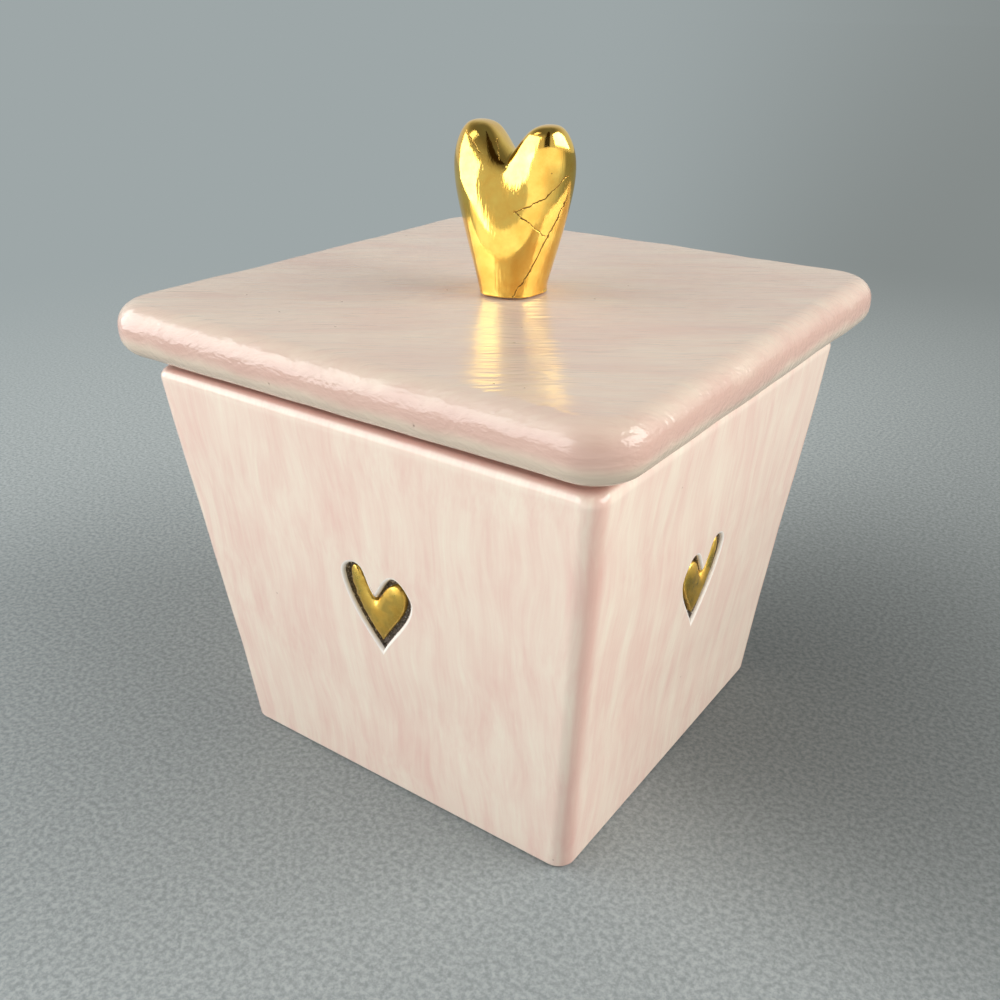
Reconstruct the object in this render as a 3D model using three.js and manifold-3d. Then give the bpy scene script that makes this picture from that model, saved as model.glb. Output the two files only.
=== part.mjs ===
// A hand-built ceramic trinket box: four leaning slab walls mitred together on a slab base, and a
// loose square slab lid with a heart-shaped knob. Millimetres, +Z up, the front towards -Y. The
// origin is the middle of the underside of the base.

import * as THREE from 'three';
import { mergeVertices } from 'three/addons/utils/BufferGeometryUtils.js';
import Module from 'manifold-3d';

const wasm = await Module();
wasm.setup();

// ---------------------------------------------------------------- driving dimensions

// Box
const BODY_TOP = 83; // outside width at the rim
const BODY_BOTTOM = 69.5; // outside width at the foot
const BODY_HEIGHT = 69.5;
const WALL = 7; // level thickness of the wall slabs
const BASE_THICKNESS = 7;
const ARRIS_RADIUS = 3; // outer upright edges
const INNER_ARRIS_RADIUS = 1; // upright corners inside, behind the coils
const RIM_RADIUS = 2.2; // both edges of the rim
const FOOT_RADIUS = 0.8; // bottom outer edge

// Lid
const LID_OVERHANG = 6; // past the rim on each side, with the lid centred
const LID_THICKNESS = 9;
const LID_EDGE_RADIUS = 4; // bullnose, top and bottom
const LID_CORNER_RADIUS = 8; // in plan
const LID_PLAY = 4; // between the locating strips and the walls, with the lid centred
const LID_SHIFT = new THREE.Vector2(-2, 3.2); // where the loose lid has come to rest
const STRIP_HEIGHT = 6;
const STRIP_WIDTH = 5;
const STRIP_EDGE_RADIUS = 1.2;

// Coils of clay pressed into the inside seams
const COIL = 4.5; // leg of each fillet
const COIL_HEADROOM = 3; // from the top of the corner coils to the lid's strips
const COIL_EDGE = 0.5; // how much thin edge is trimmed off each fillet

// Knob: a stem and two fingers of clay that grow from one foot, and part into the lobes of a heart
const KNOB_FOOT_RADIUS = 5.3;
const LOBE_RADIUS = 5.2;
const LOBE_SPREAD = 4.6; // from the knob's middle to the middle of each lobe
const LOBE_HEIGHT = 18.7; // from the foot to where the rounded ends of the lobes begin
const LOBE_END = 7; // length of each rounded end
const STEM_RADIUS = 5.7;
const STEM_HEIGHT = 11; // from the foot to where the rounded end of the stem begins
const STEM_END = 6;
const KNOB_YAW = THREE.MathUtils.degToRad(17); // set a little askew on the lid
const KNOB_SHIFT = new THREE.Vector2(2, -3.2); // from the middle of the lid

// Pressed hearts, one on each wall
const HEART_WIDTH = 10.5; // the gilded heart
const HEART_HEIGHT = 12.8;
const HEART_GROOVE = 1.1; // stained groove around the gilding
const NOTCH_GROOVE = 0.5; // the same groove where it is narrowest, in the notch
const GROOVE_SPREAD = 0.12; // how fast it widens away from the notch
const HEART_DEPTH = 1.6; // pressed into the wall
const HEART_THICKNESS = 1.1;
const HEART_EDGE_RADIUS = 0.35;
const HEART_ASIDE = 2.5; // from the middle of the wall
const HEART_UP = 38.6; // up the wall, from its foot to the middle of the heart

// Clearances
const JOINT = 0.3; // slip joint between two pieces of clay
const SEAT_GAP = 0.8; // between the rim and the lid

// Fineness of the round stretches
const CORNER_STEPS = 6;
const EDGE_STEPS = 4;
const KNOB_SIDES = 28;
const KNOB_END_STEPS = 7;
const HEART_STEPS = 5;

// ---------------------------------------------------------------- sizes that follow

const SIDES = ['front', 'right', 'back', 'left'];
const HEART_NOTCH = [-0.07, 0.1]; // of the heart's width and height, from its middle
const CROSSING = 0.98; // a point nearer to the outline than this share of the offset has crossed over
const QUARTER = Math.PI / 2;
const UP = new THREE.Vector3(0, 0, 1);
const LEAN = (BODY_TOP - BODY_BOTTOM) / 2 / BODY_HEIGHT;
const SLOPE = Math.atan(LEAN);
const REACH = BODY_TOP + 2 * LID_OVERHANG; // further out than any piece
const LID_HALF = BODY_TOP / 2 + LID_OVERHANG;
const LID_BOTTOM = BODY_HEIGHT + SEAT_GAP;
const STRIP_BOTTOM = LID_BOTTOM - JOINT - STRIP_HEIGHT;
const STRIP_HALF = innerHalf(STRIP_BOTTOM) - LID_PLAY;
const FLOOR = BASE_THICKNESS + JOINT;
const FLOOR_COIL_TOP = FLOOR + COIL;

function outerHalf(z) {
  return BODY_BOTTOM / 2 + LEAN * z;
}

function innerHalf(z) {
  return outerHalf(z) - WALL;
}

// ---------------------------------------------------------------- materials

const GLAZE = new THREE.MeshStandardMaterial({ color: 0xe2cabd, roughness: 0.14, metalness: 0 });
const GLAZED_LID = new THREE.MeshStandardMaterial({ color: 0xdfc9bc, roughness: 0.1, metalness: 0 });
const BARE_CLAY = new THREE.MeshStandardMaterial({ color: 0xd9cdbd, roughness: 0.85, metalness: 0 });
const GOLD = new THREE.MeshStandardMaterial({ color: 0xe3ae3c, roughness: 0.09, metalness: 1 });
const DULL_GOLD = new THREE.MeshStandardMaterial({ color: 0xa88a35, roughness: 0.3, metalness: 1 });

// ---------------------------------------------------------------- closed meshes and booleans

// A three.js geometry as a solid that can be joined and cut.
function solid(geometry) {
  const bare = geometry.clone();
  bare.deleteAttribute('normal');
  bare.deleteAttribute('uv');
  const merged = mergeVertices(bare, 1e-4);
  return new wasm.Manifold(new wasm.Mesh({
    numProp: 3,
    vertProperties: new Float32Array(merged.attributes.position.array),
    triVerts: new Uint32Array(merged.index.array),
  }));
}

// The named mesh of a solid.
function piece(name, shape, material) {
  const { vertProperties, triVerts } = shape.getMesh();
  const geometry = new THREE.BufferGeometry();
  geometry.setAttribute('position', new THREE.BufferAttribute(vertProperties, 3));
  geometry.setIndex(new THREE.BufferAttribute(triVerts, 1));
  geometry.computeVertexNormals();
  const mesh = new THREE.Mesh(geometry, material);
  mesh.name = name;
  return mesh;
}

// ---------------------------------------------------------------- square columns

// One level of a square column with round corners, anticlockwise from above.
function squareRing({ z, half, corner }) {
  const ring = [];
  for (let quarter = 0; quarter < 4; quarter++) {
    for (let step = 0; step <= CORNER_STEPS; step++) {
      const angle = (step / CORNER_STEPS) * QUARTER;
      const point = new THREE.Vector3(
        half - corner + corner * Math.cos(angle),
        half - corner + corner * Math.sin(angle),
        z,
      );
      ring.push(point.applyAxisAngle(UP, quarter * QUARTER));
    }
  }
  return ring;
}

// A closed column through levels of { z, half, corner }, listed upwards.
function column(levels) {
  const rings = levels.map(squareRing);
  const count = rings[0].length;
  const top = (rings.length - 1) * count;
  const index = [];
  for (let level = 0; level < rings.length - 1; level++) {
    for (let i = 0; i < count; i++) {
      const a = level * count + i;
      const b = level * count + ((i + 1) % count);
      index.push(a, b, b + count, a, b + count, a + count);
    }
  }
  for (let i = 1; i < count - 1; i++) {
    index.push(0, i + 1, i);
    index.push(top, top + i, top + i + 1);
  }
  const geometry = new THREE.BufferGeometry().setFromPoints(rings.flat());
  geometry.setIndex(index);
  return solid(geometry);
}

// Heights and insets of a quarter-round edge, listed upwards. rise is 0 to radius; inset is how far
// the surface has drawn in: closing at a top edge, opening at a bottom one.
function edgeArc(radius, isTop) {
  const steps = [];
  for (let step = 0; step <= EDGE_STEPS; step++) {
    const angle = (step / EDGE_STEPS) * QUARTER;
    steps.push(isTop
      ? { rise: radius * Math.sin(angle), inset: radius * (1 - Math.cos(angle)) }
      : { rise: radius * (1 - Math.cos(angle)), inset: radius * (1 - Math.sin(angle)) });
  }
  return steps;
}

// The quarter of plan that belongs to the front, between two heights, short of the mitre planes by
// half a joint.
function frontQuarter(low, high) {
  const setback = JOINT / Math.SQRT2;
  const plan = new THREE.Shape([
    new THREE.Vector2(0, -setback),
    new THREE.Vector2(setback - REACH, -REACH),
    new THREE.Vector2(REACH - setback, -REACH),
  ]);
  const geometry = new THREE.ExtrudeGeometry(plan, { depth: high - low, bevelEnabled: false });
  return solid(geometry.translate(0, 0, low));
}

// Four turned copies of a front piece, one for each side of the box.
function onEverySide(suffix, shape, material) {
  return SIDES.map((side, turn) => {
    const mesh = piece(`${side}_${suffix}`, shape, material);
    mesh.rotation.z = turn * QUARTER;
    return mesh;
  });
}

// ---------------------------------------------------------------- pressed hearts

// Outline of a heart about its own middle, with a slim upright lobe on one side and a full round lobe
// on the other. hand is 1 with the slim lobe on the left as seen from outside, and -1 on the right.
function heartOutline(hand) {
  const at = (across, up) => [hand * across * HEART_WIDTH, up * HEART_HEIGHT];
  return new THREE.Shape()
    .moveTo(...at(-0.05, -0.5))
    .bezierCurveTo(...at(-0.22, -0.31), ...at(-0.49, -0.04), ...at(-0.5, 0.32))
    .bezierCurveTo(...at(-0.5, 0.48), ...at(-0.36, 0.56), ...at(-0.28, 0.4))
    .bezierCurveTo(...at(-0.23, 0.28), ...at(-0.17, 0.15), ...at(...HEART_NOTCH))
    .bezierCurveTo(...at(0.07, 0.24), ...at(0.18, 0.44), ...at(0.34, 0.44))
    .bezierCurveTo(...at(0.45, 0.44), ...at(0.5, 0.35), ...at(0.5, 0.25))
    .bezierCurveTo(...at(0.48, 0), ...at(0.14, -0.24), ...at(-0.05, -0.5));
}

// The heart's outline moved outwards by the width of the groove, without the points that would
// cross over in the notch.
function grooveOutline(hand) {
  const points = heartOutline(hand).getPoints(HEART_STEPS).slice(1);
  const [across, up] = HEART_NOTCH;
  const notch = new THREE.Vector2(hand * across * HEART_WIDTH, up * HEART_HEIGHT);
  const moved = points.map((point, i) => {
    const along = points[(i + 1) % points.length].clone().sub(points.at(i - 1)).normalize();
    const outward = new THREE.Vector2(-hand * along.y, hand * along.x);
    const width = Math.min(HEART_GROOVE, NOTCH_GROOVE + GROOVE_SPREAD * point.distanceTo(notch));
    return { place: point.clone().addScaledVector(outward, width), width };
  });
  const isClear = ({ place, width }) => (
    points.every((point) => point.distanceTo(place) > CROSSING * width)
  );
  return new THREE.Shape(moved.filter(isClear).map(({ place }) => place));
}

// The hearts on neighbouring walls are mirror images of each other.
function handOf(turn) {
  return turn % 2 === 0 ? 1 : -1;
}

// Lays a shape that stands on the XY plane onto the front wall's outer face, outwards along its
// normal, with the shape's middle where the heart is pressed.
function ontoFrontWall(geometry, hand) {
  return geometry
    .translate(hand * HEART_ASIDE, HEART_UP, 0)
    .rotateX(QUARTER + SLOPE)
    .translate(0, -BODY_BOTTOM / 2, 0);
}

function heartPocket(hand) {
  const settings = { depth: 2 * HEART_DEPTH, bevelEnabled: false };
  const geometry = new THREE.ExtrudeGeometry(grooveOutline(hand), settings)
    .translate(0, 0, -HEART_DEPTH);
  return solid(ontoFrontWall(geometry, hand));
}

function heartFill(hand) {
  const settings = {
    depth: HEART_THICKNESS - 2 * HEART_EDGE_RADIUS,
    curveSegments: HEART_STEPS,
    bevelThickness: HEART_EDGE_RADIUS,
    bevelSize: HEART_EDGE_RADIUS,
    bevelOffset: -HEART_EDGE_RADIUS,
    bevelSegments: 2,
  };
  const underside = JOINT - HEART_DEPTH;
  const geometry = new THREE.ExtrudeGeometry(heartOutline(hand), settings)
    .translate(0, 0, underside + HEART_EDGE_RADIUS);
  return solid(ontoFrontWall(geometry, hand));
}

// ---------------------------------------------------------------- box

function outerColumn() {
  const level = (z, inset) => ({ z, half: outerHalf(z) - inset, corner: ARRIS_RADIUS });
  const foot = edgeArc(FOOT_RADIUS, false).map(({ rise, inset }) => level(rise, inset));
  const rimStart = BODY_HEIGHT - RIM_RADIUS;
  const rim = edgeArc(RIM_RADIUS, true).map(({ rise, inset }) => level(rimStart + rise, inset));
  return column([...foot, ...rim]);
}

// The hollow, which opens out at the rim, where the wall's inner edge is rounded.
function hollow() {
  const level = (z, flare) => ({ z, half: innerHalf(z) + flare, corner: INNER_ARRIS_RADIUS });
  const rimStart = BODY_HEIGHT - RIM_RADIUS;
  const rim = edgeArc(RIM_RADIUS, true).map(({ rise, inset }) => level(rimStart + rise, inset));
  return column([level(0, 0), ...rim, level(BODY_HEIGHT + RIM_RADIUS, RIM_RADIUS)]);
}

function baseSlab() {
  const slab = column([
    { z: 0, half: REACH, corner: ARRIS_RADIUS },
    { z: BASE_THICKNESS, half: REACH, corner: ARRIS_RADIUS },
  ]);
  return piece('base_slab', outerColumn().intersect(slab), BARE_CLAY);
}

function walls() {
  const frontWall = outerColumn().subtract(hollow()).intersect(frontQuarter(FLOOR, 2 * BODY_HEIGHT));
  return SIDES.map((side, turn) => {
    const mesh = piece(`${side}_wall`, frontWall.subtract(heartPocket(handOf(turn))), GLAZE);
    mesh.rotation.z = turn * QUARTER;
    return mesh;
  });
}

function heartFills() {
  return SIDES.map((side, turn) => {
    const mesh = piece(`${side}_heart_fill`, heartFill(handOf(turn)), DULL_GOLD);
    mesh.rotation.z = turn * QUARTER;
    return mesh;
  });
}

// Fillets along the floor: a ring with a concave inner face, mitred into four.
function floorCoils() {
  const fit = (z) => innerHalf(z) - JOINT;
  const block = column([FLOOR, FLOOR_COIL_TOP].map((z) => (
    { z, half: fit(z), corner: INNER_ARRIS_RADIUS }
  )));
  const scoop = edgeArc(COIL, false).map(({ rise, inset }) => ({
    z: FLOOR + rise,
    half: fit(FLOOR + rise) - COIL_EDGE - inset * (1 - COIL_EDGE / COIL),
    corner: INNER_ARRIS_RADIUS,
  }));
  const under = { ...scoop[0], z: FLOOR - COIL };
  const over = { ...scoop.at(-1), z: FLOOR + 2 * COIL };
  const ring = block.subtract(column([under, ...scoop, over]));
  const quarter = frontQuarter(FLOOR - COIL, FLOOR_COIL_TOP + COIL);
  return onEverySide('floor_coil', ring.intersect(quarter), GLAZE);
}

// Fillets up the corners, from the floor coils to below the lid's strips. Each is what is left
// between a tight-cornered column and a round-cornered one.
function cornerCoils() {
  const bottom = FLOOR_COIL_TOP + JOINT;
  const top = STRIP_BOTTOM - COIL_HEADROOM;
  const tight = column([bottom, top].map((z) => (
    { z, half: innerHalf(z) - JOINT, corner: INNER_ARRIS_RADIUS }
  )));
  const round = column([bottom - COIL, top + COIL].map((z) => (
    { z, half: innerHalf(z) - JOINT + COIL_EDGE / 2, corner: COIL + COIL_EDGE / 2 }
  )));
  const frontRight = solid(new THREE.BoxGeometry(REACH, REACH, 2 * BODY_HEIGHT)
    .translate(REACH / 2, -REACH / 2, BODY_HEIGHT));
  const shape = tight.subtract(round).intersect(frontRight);
  return ['front_right', 'back_right', 'back_left', 'front_left'].map((place, turn) => {
    const mesh = piece(`${place}_corner_coil`, shape, GLAZE);
    mesh.rotation.z = turn * QUARTER;
    return mesh;
  });
}

// ---------------------------------------------------------------- lid, from its underside

function lidSlab() {
  const radius = Math.min(LID_EDGE_RADIUS, LID_THICKNESS / 2 - JOINT);
  const corner = Math.max(LID_CORNER_RADIUS, radius + JOINT);
  const level = (z, inset) => ({ z, half: LID_HALF - inset, corner: corner - inset });
  const lower = edgeArc(radius, false).map(({ rise, inset }) => level(rise, inset));
  const upperStart = LID_THICKNESS - radius;
  const upper = edgeArc(radius, true).map(({ rise, inset }) => level(upperStart + rise, inset));
  return piece('lid_slab', column([...lower, ...upper]), GLAZED_LID);
}

// Strips under the lid that keep it over the box, mitred at the corners.
function lidStrips() {
  const bottom = -JOINT - STRIP_HEIGHT;
  const level = (z, inset) => ({ z, half: STRIP_HALF - inset, corner: 2 * STRIP_EDGE_RADIUS });
  const lower = edgeArc(STRIP_EDGE_RADIUS, false).map(({ rise, inset }) => level(bottom + rise, inset));
  const outside = column([...lower, level(-JOINT, 0)]);
  const inside = column([bottom - STRIP_HEIGHT, 0].map((z) => (
    { z, half: STRIP_HALF - STRIP_WIDTH, corner: STRIP_EDGE_RADIUS }
  )));
  const quarter = frontQuarter(bottom - STRIP_HEIGHT, 0);
  return onEverySide('lid_strip', outside.subtract(inside).intersect(quarter), GLAZED_LID);
}

// One round-ended finger of the knob, which leans by spread over its height and reaches below the foot.
function knobFinger({ radius, height, end, spread }) {
  const length = Math.hypot(spread, height);
  const taper = (radius - KNOB_FOOT_RADIUS) / length;
  const tail = -KNOB_FOOT_RADIUS;
  const profile = [
    new THREE.Vector2(0, tail),
    new THREE.Vector2(KNOB_FOOT_RADIUS + taper * tail, tail),
  ];
  for (let step = 0; step < KNOB_END_STEPS; step++) {
    const angle = (step / KNOB_END_STEPS) * QUARTER;
    profile.push(new THREE.Vector2(radius * Math.cos(angle), length + end * Math.sin(angle)));
  }
  profile.push(new THREE.Vector2(0, length + end));
  const geometry = new THREE.LatheGeometry(profile, KNOB_SIDES)
    .rotateX(QUARTER)
    .rotateY(Math.atan2(spread, height));
  return solid(geometry);
}

function heartKnob() {
  const lobe = { radius: LOBE_RADIUS, height: LOBE_HEIGHT, end: LOBE_END };
  const stem = { radius: STEM_RADIUS, height: STEM_HEIGHT, end: STEM_END, spread: 0 };
  const heart = knobFinger(stem)
    .add(knobFinger({ ...lobe, spread: -LOBE_SPREAD }))
    .add(knobFinger({ ...lobe, spread: LOBE_SPREAD }));
  const height = LOBE_HEIGHT + LOBE_END;
  const aboveFoot = solid(new THREE.BoxGeometry(REACH, REACH, 2 * height).translate(0, 0, height));
  const mesh = piece('heart_knob', heart.intersect(aboveFoot), GOLD);
  mesh.position.set(KNOB_SHIFT.x, KNOB_SHIFT.y, LID_THICKNESS + JOINT);
  mesh.rotation.z = KNOB_YAW;
  return mesh;
}

// ---------------------------------------------------------------- assembly

const box = new THREE.Group();
box.add(baseSlab(), ...walls(), ...heartFills(), ...floorCoils(), ...cornerCoils());

const lid = new THREE.Group();
lid.add(lidSlab(), ...lidStrips(), heartKnob());
lid.position.set(LID_SHIFT.x, LID_SHIFT.y, LID_BOTTOM);

const trinketBox = new THREE.Group();
trinketBox.add(box, lid);

export default trinketBox;
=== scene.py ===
"""A hand-built ceramic trinket box with gilded hearts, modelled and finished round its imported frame."""

import logging
import math
from collections.abc import Callable, Iterator
from contextlib import contextmanager
from dataclasses import dataclass, field
from enum import Enum

import bmesh
import bpy
from mathutils import Matrix, Vector


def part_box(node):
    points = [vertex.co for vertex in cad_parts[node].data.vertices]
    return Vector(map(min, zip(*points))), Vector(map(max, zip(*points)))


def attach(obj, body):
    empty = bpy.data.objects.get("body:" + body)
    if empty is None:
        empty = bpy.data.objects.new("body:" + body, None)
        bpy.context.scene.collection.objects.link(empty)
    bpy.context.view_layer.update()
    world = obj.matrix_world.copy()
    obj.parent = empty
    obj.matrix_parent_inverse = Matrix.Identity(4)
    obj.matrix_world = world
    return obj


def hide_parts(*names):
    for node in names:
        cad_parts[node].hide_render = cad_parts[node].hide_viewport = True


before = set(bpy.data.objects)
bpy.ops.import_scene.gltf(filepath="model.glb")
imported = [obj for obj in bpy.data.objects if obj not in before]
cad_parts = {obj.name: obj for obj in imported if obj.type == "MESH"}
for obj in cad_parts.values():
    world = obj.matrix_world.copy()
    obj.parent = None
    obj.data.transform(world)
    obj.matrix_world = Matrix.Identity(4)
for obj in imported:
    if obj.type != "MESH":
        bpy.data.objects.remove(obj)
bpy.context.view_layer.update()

log = logging.getLogger("trinket_box")

MM = 0.001
TOUCH = 0.01 * MM
QUARTER = math.pi / 2
SIDES = ("front", "right", "back", "left")
CORNERS = ("front_right", "back_right", "back_left", "front_left")
BLACK = (0.0, 0.0, 0.0, 1.0)
ORIGIN = (0.0, 0.0, 0.0)

Colour = tuple[float, float, float, float]
Pair = tuple[float, float]
Element = bmesh.types.BMVert | bmesh.types.BMEdge | bmesh.types.BMFace
Test = Callable[[Element], bool]
Piece = bpy.types.Object
Material = bpy.types.Material
Node = bpy.types.Node
Socket = bpy.types.NodeSocket
Tree = bpy.types.NodeTree


class Kind(Enum):
    """What an edit-mode choice picks."""

    CORNER = "VERT"
    EDGE = "EDGE"
    FACE = "FACE"


class Hand(Enum):
    """Which way round a lopsided heart is, seen from outside."""

    SLIM_LOBE_LEFT = 1
    SLIM_LOBE_RIGHT = -1


# ---- modelling bench


def pick_only(piece: Piece) -> None:
    """Deselects everything, then selects one piece and makes it active.

    Args:
        piece: The piece.
    """
    bpy.ops.object.select_all(action="DESELECT")
    piece.select_set(True)
    bpy.context.view_layer.objects.active = piece


@contextmanager
def editing(piece: Piece) -> Iterator[None]:
    """Holds a piece in edit mode for the length of a with block, with all of it chosen at first.

    Args:
        piece: The piece.
    """
    pick_only(piece)
    bpy.ops.object.mode_set(mode="EDIT")
    bpy.ops.mesh.select_all(action="SELECT")
    try:
        yield
    finally:
        bpy.ops.object.mode_set(mode="OBJECT")


def choose(kind: Kind, test: Test) -> None:
    """Selects, in edit mode, only the elements that pass a test.

    Args:
        kind: Corners, edges or faces.
        test: Says whether an element is wanted.
    """
    bpy.ops.mesh.select_mode(type=kind.value)
    bpy.ops.mesh.select_all(action="DESELECT")
    data = bpy.context.active_object.data
    mesh = bmesh.from_edit_mesh(data)
    pools = {Kind.CORNER: mesh.verts, Kind.EDGE: mesh.edges, Kind.FACE: mesh.faces}
    for element in filter(test, pools[kind]):
        element.select_set(True)
    mesh.select_flush_mode()
    bmesh.update_edit_mesh(data)


def level_at(height: float) -> Test:
    """Makes a test for elements that lie wholly at one height.

    Args:
        height: Height above the table.

    Returns:
        The test, for choose().
    """
    def test(element: Element) -> bool:
        """Says whether the element lies at the height."""
        corners = [element] if isinstance(element, bmesh.types.BMVert) else element.verts
        return all(abs(corner.co.z - height) < TOUCH for corner in corners)
    return test


def is_upright(edge: bmesh.types.BMEdge) -> bool:
    """Says whether an edge runs from one level to another."""
    return abs(edge.verts[0].co.z - edge.verts[1].co.z) > MM


def faces_up(face: bmesh.types.BMFace) -> bool:
    """Says whether a face looks straight up."""
    return face.normal.z > 0.99


def faces_down(face: bmesh.types.BMFace) -> bool:
    """Says whether a face looks straight down."""
    return face.normal.z < -0.99


def round_off(radius: float, steps: int, material: int = -1) -> None:
    """Rounds the chosen edges in so many steps, with a material slot of their own if one is given."""
    bpy.ops.mesh.bevel(offset=radius, segments=steps, affect="EDGES", clamp_overlap=False, material=material)


def lift(height: float) -> None:
    """Moves what is chosen straight up."""
    bpy.ops.transform.translate(value=(0.0, 0.0, height))


def spread(across: float, along: float) -> None:
    """Scales what is chosen, level, about its middle."""
    bpy.ops.transform.resize(value=(across, along, 1.0))


def draw_out(move: tuple[float, float, float]) -> None:
    """Draws what is chosen out of the mesh by a move."""
    bpy.ops.mesh.extrude_region_move(TRANSFORM_OT_translate={"value": move})


def start(name: str, add: Callable, **settings: object) -> Piece:
    """Adds a primitive as a start for a piece.

    Args:
        name: The piece's name.
        add: The operator that adds the primitive.
        settings: The operator's own settings.

    Returns:
        The piece, which alone is selected.
    """
    bpy.ops.object.select_all(action="DESELECT")
    add(**settings)
    piece = bpy.context.active_object
    piece.name = piece.data.name = name
    return piece


def block(name: str, low: Vector, high: Vector) -> Piece:
    """Starts a piece as a block.

    Args:
        name: The piece's name.
        low: Lowest corner.
        high: Highest corner.

    Returns:
        The block, with its place in its mesh.
    """
    middle = (low + high) / 2
    piece = start(name, bpy.ops.mesh.primitive_cube_add, size=1, location=middle, scale=high - low)
    settle(piece)
    return piece


def settle(piece: Piece) -> None:
    """Puts a piece's place, turn and scale into its mesh."""
    pick_only(piece)
    bpy.ops.object.transform_apply(location=True, rotation=True, scale=True)


def stand_at(piece: Piece, place: Matrix) -> None:
    """Moves a piece to a place and settles it there."""
    piece.matrix_world = place @ piece.matrix_world
    settle(piece)


def copy_of(piece: Piece, name: str) -> Piece:
    """Copies a piece, with a mesh of its own.

    Args:
        piece: What to copy.
        name: The copy's name.

    Returns:
        The copy.
    """
    pick_only(piece)
    bpy.ops.object.duplicate(linked=False)
    copy = bpy.context.active_object
    copy.name = copy.data.name = name
    return copy


def turn_normals_out(piece: Piece) -> None:
    """Merges doubles and makes every face of a closed piece look outwards.

    Args:
        piece: The piece.
    """
    with editing(piece):
        bpy.ops.mesh.remove_doubles(threshold=0.001 * MM)
        bpy.ops.mesh.normals_make_consistent(inside=False)


def apply_modifiers(piece: Piece) -> None:
    """Applies every modifier of a piece, from first to last.

    Args:
        piece: The piece.
    """
    pick_only(piece)
    for modifier in list(piece.modifiers):
        bpy.ops.object.modifier_apply(modifier=modifier.name)


def slice_up(low: Vector, high: Vector, spacing: float) -> None:
    """Cuts the mesh in edit mode with evenly spaced level and upright planes.

    Args:
        low: Lowest corner of the region to cut.
        high: Highest corner of it.
        spacing: Greatest distance between two planes.
    """
    for axis in range(3):
        extent = high[axis] - low[axis]
        count = max(1, math.ceil(extent / spacing))
        normal = Vector([float(i == axis) for i in range(3)])
        for cut in range(1, count):
            place = low.copy()
            place[axis] = low[axis] + extent * cut / count
            bpy.ops.mesh.select_all(action="SELECT")
            bpy.ops.mesh.bisect(plane_co=place, plane_no=normal)


def shade(piece: Piece, degrees: float) -> None:
    """Shades a piece smoothly, apart from edges that turn by more than an angle."""
    pick_only(piece)
    bpy.ops.object.shade_smooth_by_angle(angle=math.radians(degrees))


def shade_flats(piece: Piece) -> None:
    """Shades a piece of flat faces and rounded edges, with its flat faces kept flat.

    Args:
        piece: The piece.
    """
    shade(piece, 40)
    weighting = piece.modifiers.new("flat_faces_lead", "WEIGHTED_NORMAL")
    weighting.keep_sharp = True
    apply_modifiers(piece)


def roughen(piece: Piece, size: float, depth: float, weight: Callable[[Vector], float]) -> None:
    """Draws a piece's surface in unevenly, as clay that was rolled and smoothed by hand.

    Args:
        piece: The piece.
        size: Distance from one hollow to the next.
        depth: The deepest that the surface is drawn in.
        weight: Says for a corner's place, from 0 to 1, how much it takes part.
    """
    group = piece.vertex_groups.new(name="uneven")
    for corner in piece.data.vertices:
        group.add([corner.index], weight(corner.co), "REPLACE")
    texture = bpy.data.textures.new("hand_smoothed", type="CLOUDS")
    texture.noise_scale = size
    texture.noise_depth = 1
    displace = piece.modifiers.new("uneven_clay", "DISPLACE")
    displace.texture = texture
    displace.texture_coords = "LOCAL"
    displace.vertex_group = group.name
    displace.mid_level = 1.0
    displace.strength = depth
    apply_modifiers(piece)
    bpy.data.textures.remove(texture)


def ease(value: float, start: float, end: float) -> float:
    """Goes smoothly from 0 at start to 1 at end."""
    share = min(1.0, max(0.0, (value - start) / (end - start)))
    return share * share * (3 - 2 * share)


def hand_in(piece: Piece, body: str, slot: str, *nodes: str) -> None:
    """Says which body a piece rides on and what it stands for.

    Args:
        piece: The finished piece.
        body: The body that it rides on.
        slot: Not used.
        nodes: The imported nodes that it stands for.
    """
    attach(piece, body)
    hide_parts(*nodes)
    log.info("%s: %d faces, for %s", piece.name, len(piece.data.polygons), ", ".join(nodes))


# ---- shader bench


def srgb(red: int, green: int, blue: int) -> Colour:
    """Gives a colour, stated as 0 to 255 on a display, as the linear light that shaders mix."""
    shares = (channel / 255 for channel in (red, green, blue))
    return (*(s / 12.92 if s <= 0.04045 else ((s + 0.055) / 1.055) ** 2.4 for s in shares), 1.0)


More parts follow.
